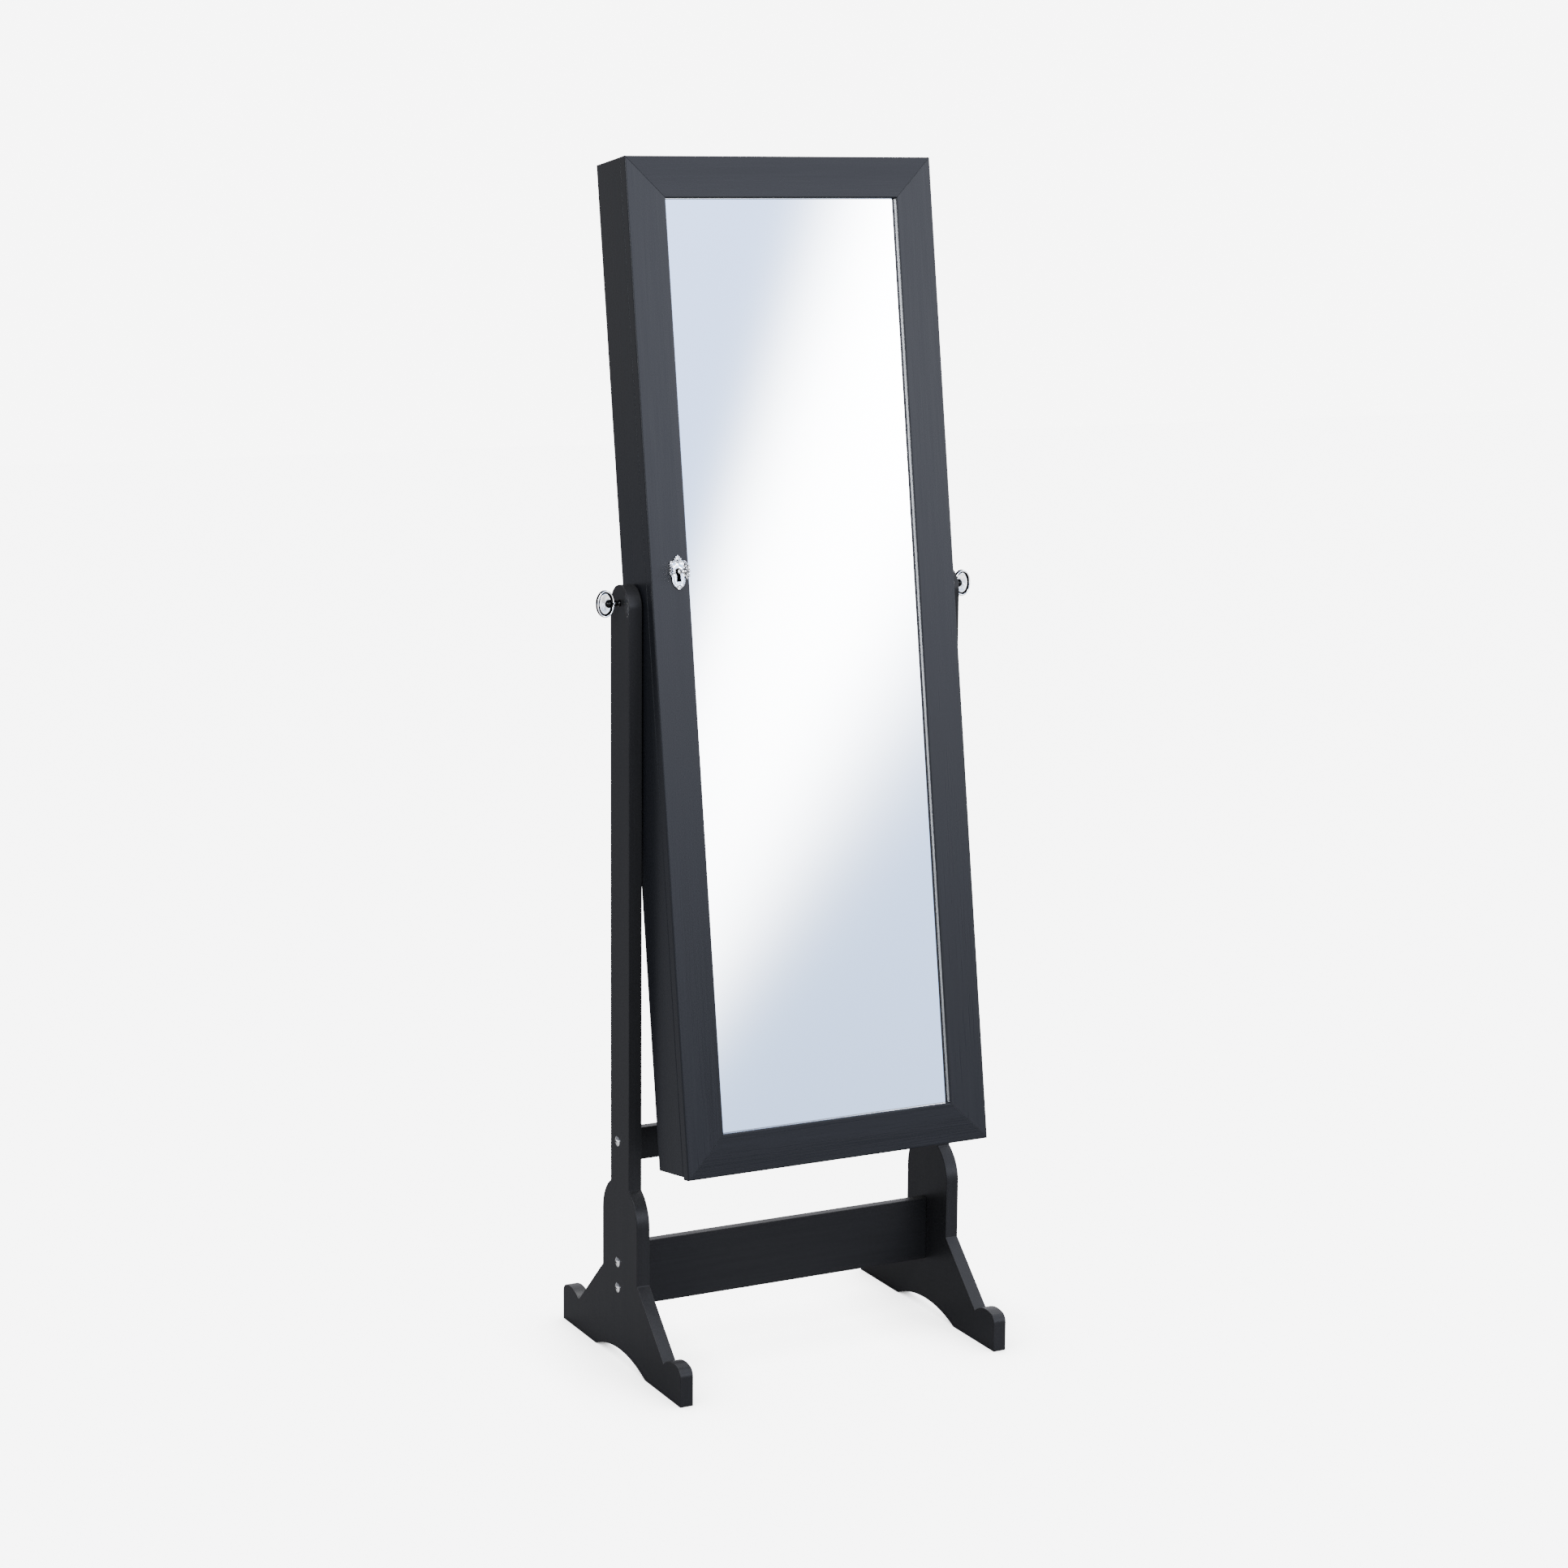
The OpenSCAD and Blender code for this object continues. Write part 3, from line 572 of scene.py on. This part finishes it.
def keyhole_shield():
    """Ornamental plate: a shield with a shell crest, scrolled shoulders, side ribs and a leaf below."""
    low, high = box_mm("keyhole_plate", LEANING)
    drawn_w = 24.0
    crest = [(2.2, 20.2), (4.5, 17.7), (6.3, 15.1), (8.4, 14.5), (10.9, 13.7), (12.2, 11.2)]
    ribs = [(11.3, 8.7), (12.0, 7.1), (11.2, 5.5), (11.9, 3.9), (11.1, 2.3), (11.8, 0.7), (12.3, -1.5)]
    leaf = [(10.5, -3.7), (9.4, -6.2), (9.2, -10.2), (8.1, -14.2), (5.7, -17.5), (2.6, -20.2)]
    half = crest + ribs + leaf
    outline = [(0, 21.5)] + half + [(0, -21.5)] + [(-x, z) for x, z in reversed(half)]
    edge_line = smooth_outline([(x * (high.x - low.x) / drawn_w, z) for x, z in outline], 9)
    hole = Vector((0, 1))
    eye = Vector((0, -3.0))
    centre = Vector(((low.x + high.x) / 2, high.y, (low.z + high.z) / 2))
    steps = 40
    rings = []
    for k in range(-1, steps + 2):
        share = min(max(k / steps, 0.0), 1.0)
        ring = []
        for p in edge_line:
            direction = (p - hole - eye).normalized()
            inner = hole + eye + direction * keyhole_reach(direction, eye)
            spot = inner.lerp(p, share)
            if k in (-1, steps + 1):
                height = 0.0
            else:
                height = max(0.25, plate_relief(spot.x, spot.y, share)) * (0.45 if share == 1.0 else 1.0)
            ring.append(centre + Vector((spot.x, -height, spot.y)))
        rings.append(ring)
    bm = bmesh.new()
    loft(bm, rings, caps=False)
    obj = add_piece("keyhole_shield", bm, LEANING, "chrome_trim", "door", "chrome_trim", "keyhole_plate")
    front = LEANING.to_3x3() @ Vector((0, -1, 0))
    flat_cosine = 0.82
    # painted shade: faces of the relief that turn away from the front get the near-black chrome
    second_finish(obj, "smoked_chrome", lambda face: face.normal.dot(front) < flat_cosine)
    return obj


def spiral(centre, start_r, end_r, start, turns, steps=30):
    """Points of a scroll in the upright plane of the key's bow; start is in degrees."""
    points = []
    for i in range(steps + 1):
        share = i / steps
        radius = start_r + (end_r - start_r) * share
        angle = math.radians(start) + TURN * turns * share
        points.append(centre + Vector((0, radius * math.cos(angle), radius * math.sin(angle))))
    return points


def key():
    """Key with a turned shaft, a notched bit and a bow of scrolls and rings."""
    low, high = box_mm("key", LEANING)
    follower_low, follower_high = box_mm("lock_follower", LEANING)
    axis = (follower_low + follower_high) / 2
    bow_y = low.y + 10.6
    bm = bmesh.new()
    back = Matrix.Translation((axis.x, 0, axis.z)) @ Matrix.Rotation(-math.pi / 2, 4, "X")
    door_y = box_mm("door_rail_top", LEANING)[0].y
    shaft = [(bow_y + 3.0, 1.5), (bow_y + 4.5, 2.0), (bow_y + 5.0, 3.0), (bow_y + 6.2, 3.2)]
    shaft += [(bow_y + 6.8, 2.2), (bow_y + 8.2, 1.9)] + arc((door_y - 7.0, 2.0), 1.3, 180, 0, 8)
    shaft += [(door_y - 5.0, 2.0), (high.y - 0.5, 2.0), (high.y, 1.5)]
    turned(bm, shaft, back, 24)
    bit_front, notch_front, notch_back, bit_back = (high.y - inset for inset in (7.4, 6.2, 4.6, 0.6))
    notch_z = low.z + 2.6
    bit = [(bit_front, low.z), (notch_front, low.z), (notch_front, notch_z), (notch_back, notch_z)]
    bit += [(notch_back, low.z), (bit_back, low.z), (bit_back, axis.z), (bit_front, axis.z)]
    bit_half_t = 1.1
    loft(bm, [[Vector((axis.x + x, y, z)) for y, z in bit] for x in (-bit_half_t, bit_half_t)])
    hub = Vector((axis.x, bow_y, axis.z))
    for up in (1, -1):
        scroll = [p if up > 0 else Vector((p.x, p.y, 2 * hub.z - p.z))
                  for p in spiral(hub + Vector((0, 0.6, 5.4)), 5.2, 1.3, -70, 1.55, 44)]
        swept(bm, scroll, lambda share: 1.25 - 0.35 * share)
        ball(bm, scroll[-1], 1.5, 16)
        petal = spiral(hub + Vector((0, -5.2, up * 3.6)), 3.0, 3.0, 0, 1, 24)[:-1]
        swept(bm, petal, 0.95, closed=True)
        ball(bm, hub + Vector((0, -8.1, up * 6.2)), 1.25, 16)
    ball(bm, hub, 2.5)
    ball(bm, hub + Vector((0, -9.2, 0)), 1.4, 16)
    swept(bm, [hub + Vector((0, 4.0, 0)), hub, hub + Vector((0, -8.4, 0))], 1.1)
    return add_piece("scroll_key", bm, LEANING, "chrome_trim", "key", "chrome_trim", "key")


# ---------------------------------------------------------- inside the box

def hook_row(name):
    """Nine hooks: a stepped rose, an arm that dips and rises, and a ball on its end."""
    low, high = box_mm(f"hooks_{name}", LEANING)
    count = 9
    rose_r = 5
    arm_r = 1.6
    tip_r = 2.6
    bend_r = 6.0
    bend_steps = 8
    first, last = low.x + rose_r, high.x - rose_r
    z = low.z + rose_r
    tip_y = low.y + tip_r
    bend_y = tip_y + bend_r
    bm = bmesh.new()
    for i in range(count):
        x = first + (last - first) * i / (count - 1)
        rose = Matrix.Translation((x, high.y, z)) @ Matrix.Rotation(math.pi / 2, 4, "X")
        turned(bm, [(0, 5.0), (0.7, 5.0), (1.2, 4.5), (1.5, 2.6), (2.4, 2.2), (3.2, 1.6)], rose, 24)
        path = [Vector((x, high.y - 1, z)), Vector((x, bend_y, z))]
        for k in range(1, bend_steps + 1):
            angle = math.radians(90 * k / bend_steps)
            path.append(Vector((x, bend_y - bend_r * math.sin(angle), z + bend_r - bend_r * math.cos(angle))))
        path.append(Vector((x, tip_y, high.z - tip_r)))
        swept(bm, path, arm_r)
        ball(bm, path[-1], tip_r, 16)
    piece = f"hook_set_{name}"
    return add_piece(piece, bm, LEANING, "bright_steel", "cabinet", "bright_steel", f"hooks_{name}")


def ring_rolls():
    """Ring cushion: padded velvet rolls pressed together on a covered board, tucked in at their ends."""
    low, high = box_mm("ring_cushion", LEANING)
    count = 6
    around, along = 28, 120
    tuck_len = 7.0
    end_gap = 0.6
    pitch = (high.z - low.z) / (count + 1 / 15)
    flat_at = pitch * 0.485
    radius_y = (high.y - low.y) / 2
    bm = bmesh.new()
    for roll in range(count):
        centre_z = low.z + pitch * (roll + 0.53)
        rings = []
        for i in range(along + 1):
            share = i / along
            end = min(share, 1 - share) * (high.x - low.x)
            tuck = math.sqrt(max(0.0, 1 - max(0.0, 1 - end / tuck_len) ** 2))
            x = low.x + end_gap + (high.x - low.x - 2 * end_gap) * share
            ring = []
            for k in range(around):
                angle = TURN * k / around
                crease = 0.22 * math.sin(share * 61 + roll * 2.1) * math.sin(3 * angle + roll)
                crease += 0.16 * math.sin(share * 143 + roll * 4.7 + 2 * angle)
                seam = 0.7 * math.exp(-((angle - math.radians(95)) / 0.09) ** 2)
                swell = (1 + 0.015 * math.sin(share * 17 + roll * 1.3)) * (0.25 + 0.75 * tuck)
                y = -(radius_y * swell + crease - seam) * math.sin(angle)
                z = (pitch * 0.50 * swell + 0.5 * crease) * math.cos(angle)
                pressed = max(-flat_at, min(flat_at, z))
                ring.append(Vector((x, high.y - radius_y + y, centre_z + pressed)))
            rings.append(ring)
        loft(bm, rings)
    slab_front, slab_back = high.y - 7.5, high.y - 0.1
    slab_low, slab_high = low.z + 1.2, high.z - 1.2
    corners = [(slab_front, slab_high), (slab_back, slab_high), (slab_back, slab_low), (slab_front, slab_low)]
    loft(bm, [[Vector((x, y, z)) for y, z in corners] for x in (low.x + 3, high.x - 3)])
    piece = add_piece("ring_rolls", bm, LEANING, "velvet", "cabinet", "velvet", "ring_cushion")
    return piece


def lining():
    """Velvet stretched over the back board, with its edge tucked round a thin card."""
    low, high = box_mm("back_lining", LEANING)
    bm = bmesh.new()
    across, up = 60, 150
    inset = 0.4
    edge_w = 4.0
    edge_fall = 1.4
    rows = []
    for j in range(up + 1):
        row = []
        for i in range(across + 1):
            u, v = i / across, j / up
            x = low.x + inset + (high.x - low.x - 2 * inset) * u
            z = low.z + inset + (high.z - low.z - 2 * inset) * v
            edge = min(x - low.x, high.x - x, z - low.z, high.z - z)
            fall = edge_fall * max(0.0, 1 - edge / edge_w) ** 2
            wave = 0.12 * math.sin(u * 9 + v * 5) + 0.1 * math.sin(v * 31 - u * 4)
            row.append(bm.verts.new((x, low.y + 0.3 + fall - wave, z)))
        rows.append(row)
    for a, b in zip(rows, rows[1:]):
        for i in range(across):
            bm.faces.new((a[i], a[i + 1], b[i + 1], b[i]))
    piece = add_piece("velvet_lining", bm, LEANING, "velvet", "cabinet", "velvet", "back_lining")
    return piece


# ------------------------------------------------------------------- stage

def camera():
    """Camera from the left and above the mirror's middle, with a long lens."""
    data = bpy.data.cameras.new("camera")
    data.sensor_width = 36
    data.lens = 77.78
    data.shift_y = -0.0342
    data.clip_end = 200
    obj = bpy.data.objects.new("camera", data)
    yaw, pitch, roll = (math.radians(a) for a in (27.29, 9.93, 0.487))
    turn = Matrix.Rotation(-yaw, 4, "Z") @ Matrix.Rotation(math.pi / 2 - pitch, 4, "X")
    obj.matrix_world = Matrix.Translation((-1.9488, -3.7693, 1.5468)) @ turn @ Matrix.Rotation(roll, 4, "Z")
    bpy.context.scene.collection.objects.link(obj)
    bpy.context.scene.camera = obj


def mirrored_view(n):
    """1 for what is seen in a mirror or in clear chrome, and 0 for light and for soft gloss."""
    path = n.add("ShaderNodeLightPath").outputs
    return n.math("MULTIPLY", path["Is Singular Ray"], n.math("LESS_THAN", path["Diffuse Depth"], 0.5))


def floor():
    """Plain pale floor that glows up to the white of the surround, with a soft shadow painted into its glow round
    the feet.
    """
    n = Nodes("pale_floor")
    shade_near = n.add("ShaderNodeAmbientOcclusion", samples=8)
    shade_near.inputs["Distance"].default_value = 0.12
    n.set(Base_Color=(0.22, 0.22, 0.225, 1.0), Roughness=0.9, Specular_IOR_Level=0.1)
    path = n.add("ShaderNodeLightPath").outputs
    reach = n.add("ShaderNodeVectorMath", operation="LENGTH")
    n.link(n.add("ShaderNodeNewGeometry").outputs["Position"], reach.inputs[0])
    away = reach.outputs["Value"]
    far = n.scaled(away, 6.5, 11.5)
    seen_share = 0.94
    # painted glow for what mirrors and clear chrome see: brighter farther off, and bluer far away
    mirrored = n.math("MINIMUM", n.scaled(away, 2.5, 6.0, 1.0, 5.0), n.scaled(far, 0.0, 1.0, 5.0, 1.65))
    mirrored = n.math("MULTIPLY", mirrored_view(n), mirrored)
    glow = n.math("MAXIMUM", n.math("MULTIPLY", path["Is Camera Ray"], BACKGROUND * seen_share), mirrored)
    tint = n.math("MULTIPLY", far, mirrored_view(n))
    n.set(Emission_Color=n.blend(tint, (1.0, 1.0, 1.0, 1.0), (0.72, 0.95, 1.36, 1.0)))
    # painted shadow: ambient occlusion dims the floor's glow round the feet
    n.set(Emission_Strength=n.math("MULTIPLY", glow, shade_near.outputs["AO"]))
    half = 12
    mesh = bpy.data.meshes.new("floor")
    corners = [(x * half, y * half, 0) for x, y in ((-1, -1), (1, -1), (1, 1), (-1, 1))]
    mesh.from_pydata(corners, [], [(0, 1, 2, 3)])
    mesh.materials.append(n.material)
    obj = bpy.data.objects.new("floor", mesh)
    bpy.context.scene.collection.objects.link(obj)


def area_light(name, place, target, size, power):
    data = bpy.data.lights.new(name, "AREA")
    data.shape = "RECTANGLE"
    data.size, data.size_y = size
    data.energy = power
    obj = bpy.data.objects.new(name, data)
    obj.location = place
    obj.rotation_euler = (Vector(target) - Vector(place)).to_track_quat("-Z", "Y").to_euler()
    bpy.context.scene.collection.objects.link(obj)


def surround():
    """The studio's walls: white to the eye, pale blue with a soft wandering ribbon of light in the mirror,
    and for light and gloss brighter in front and above than behind."""
    n = Nodes("studio", "worlds", "Background")
    bpy.context.scene.world = n.material
    parts = n.add("ShaderNodeSeparateXYZ")
    n.link(n.add("ShaderNodeTexCoord").outputs["Generated"], parts.inputs[0])
    x, y, z = parts.outputs
    height = n.math("DEGREES", n.math("ARCSINE", z))
    azimuth = n.math("DEGREES", n.math("ARCTAN2", x, n.math("MULTIPLY", y, -1.0)))

    # In the mirror: a ribbon that rises and falls with the azimuth, on pale blue walls that end above
    wave_zero, wave_length = 27.55, 55
    wave = n.math("SINE", n.math("MULTIPLY", n.math("SUBTRACT", azimuth, wave_zero), TURN / wave_length))
    off = n.math("ABSOLUTE", n.math("SUBTRACT", height, n.math("MULTIPLY_ADD", wave, 14.2, 7.7)))
    width = n.math("MAXIMUM", n.math("MULTIPLY_ADD", wave, 3.2, 3.5), 1.2)
    ribbon = n.math("EXPONENT", n.math("MULTIPLY", n.math("POWER", n.math("DIVIDE", off, width), 3.0), -1.0))
    peak = n.math("ADD", n.math("MULTIPLY_ADD", wave, 12.0, 15.0), n.scaled(azimuth, -6, -20, 0, 25))
    pale = n.blend(n.scaled(height, -2, 15), (1.22, 1.62, 2.35, 1), (1.9, 2.45, 3.7, 1))
    left = n.blend(n.scaled(height, 0, 8), (0.5, 0.6, 0.8, 1), (1.7, 2.1, 3.1, 1))
    pale = n.blend(n.scaled(azimuth, -8, 16), left, pale)
    walls = n.blend(ribbon, pale, n.grey(peak))
    walls = n.blend(n.scaled(height, 36, 48), walls, (0.30, 0.32, 0.36, 1))
    mirrored = n.blend(n.scaled(y, -0.3, 0.05), walls, (0.35, 0.36, 0.40, 1))

    # For light and soft gloss: a pale card ahead, dark below it, and a dim studio behind
    card = n.blend(n.scaled(azimuth, 20, 36), (2.6, 2.75, 3.3, 1), (4.1, 4.2, 4.7, 1))
    card = n.blend(n.scaled(azimuth, -10, 14), (0.8, 0.85, 0.95, 1), card)
    bright = n.blend(n.scaled(height, 1, 12), (0.22, 0.23, 0.26, 1), card)
    bright = n.blend(n.scaled(height, 10, 22), bright, (1.1, 1.15, 1.35, 1))
    behind = n.blend(n.scaled(x, -0.3, 0.5), (0.30, 0.30, 0.31, 1), (1.0, 1.0, 1.05, 1))
    ahead = n.math("MULTIPLY_ADD", x, 0.35, n.math("MULTIPLY", y, -0.94))
    soft = n.blend(n.scaled(ahead, -0.7, 0.6), behind, bright)

    path = n.add("ShaderNodeLightPath").outputs
    seen = n.blend(mirrored_view(n), soft, mirrored)
    n.set(Color=n.blend(path["Is Camera Ray"], seen, (BACKGROUND, BACKGROUND, BACKGROUND, 1)))


def studio():
    surround()
    floor()
    area_light("left_softbox", (-3.4, -1.8, 2.2), (0, 0, 1.1), (0.7, 1.5), 24)
    area_light("front_softbox", (-0.4, -2.4, 4.0), (0, 0, 0.8), (1.2, 1.2), 34)
    area_light("top_softbox", (0.6, 0.8, 3.8), (0, 0, 0.6), (1.6, 1.6), 60)


dress_cad_nodes()
for board_node in BODIES["stand"][:4] + BODIES["cabinet"][:4]:
    soften(board_node, 0.8)
for board_node in ("door_rail_top", "door_rail_bottom", "door_stile_left", "door_stile_right"):
    soften(board_node, 0.35)
knob("left", -1)
knob("right", 1)
keyhole_shield()
key()
hook_row("upper")
hook_row("lower")
ring_rolls()
lining()
camera()
studio()
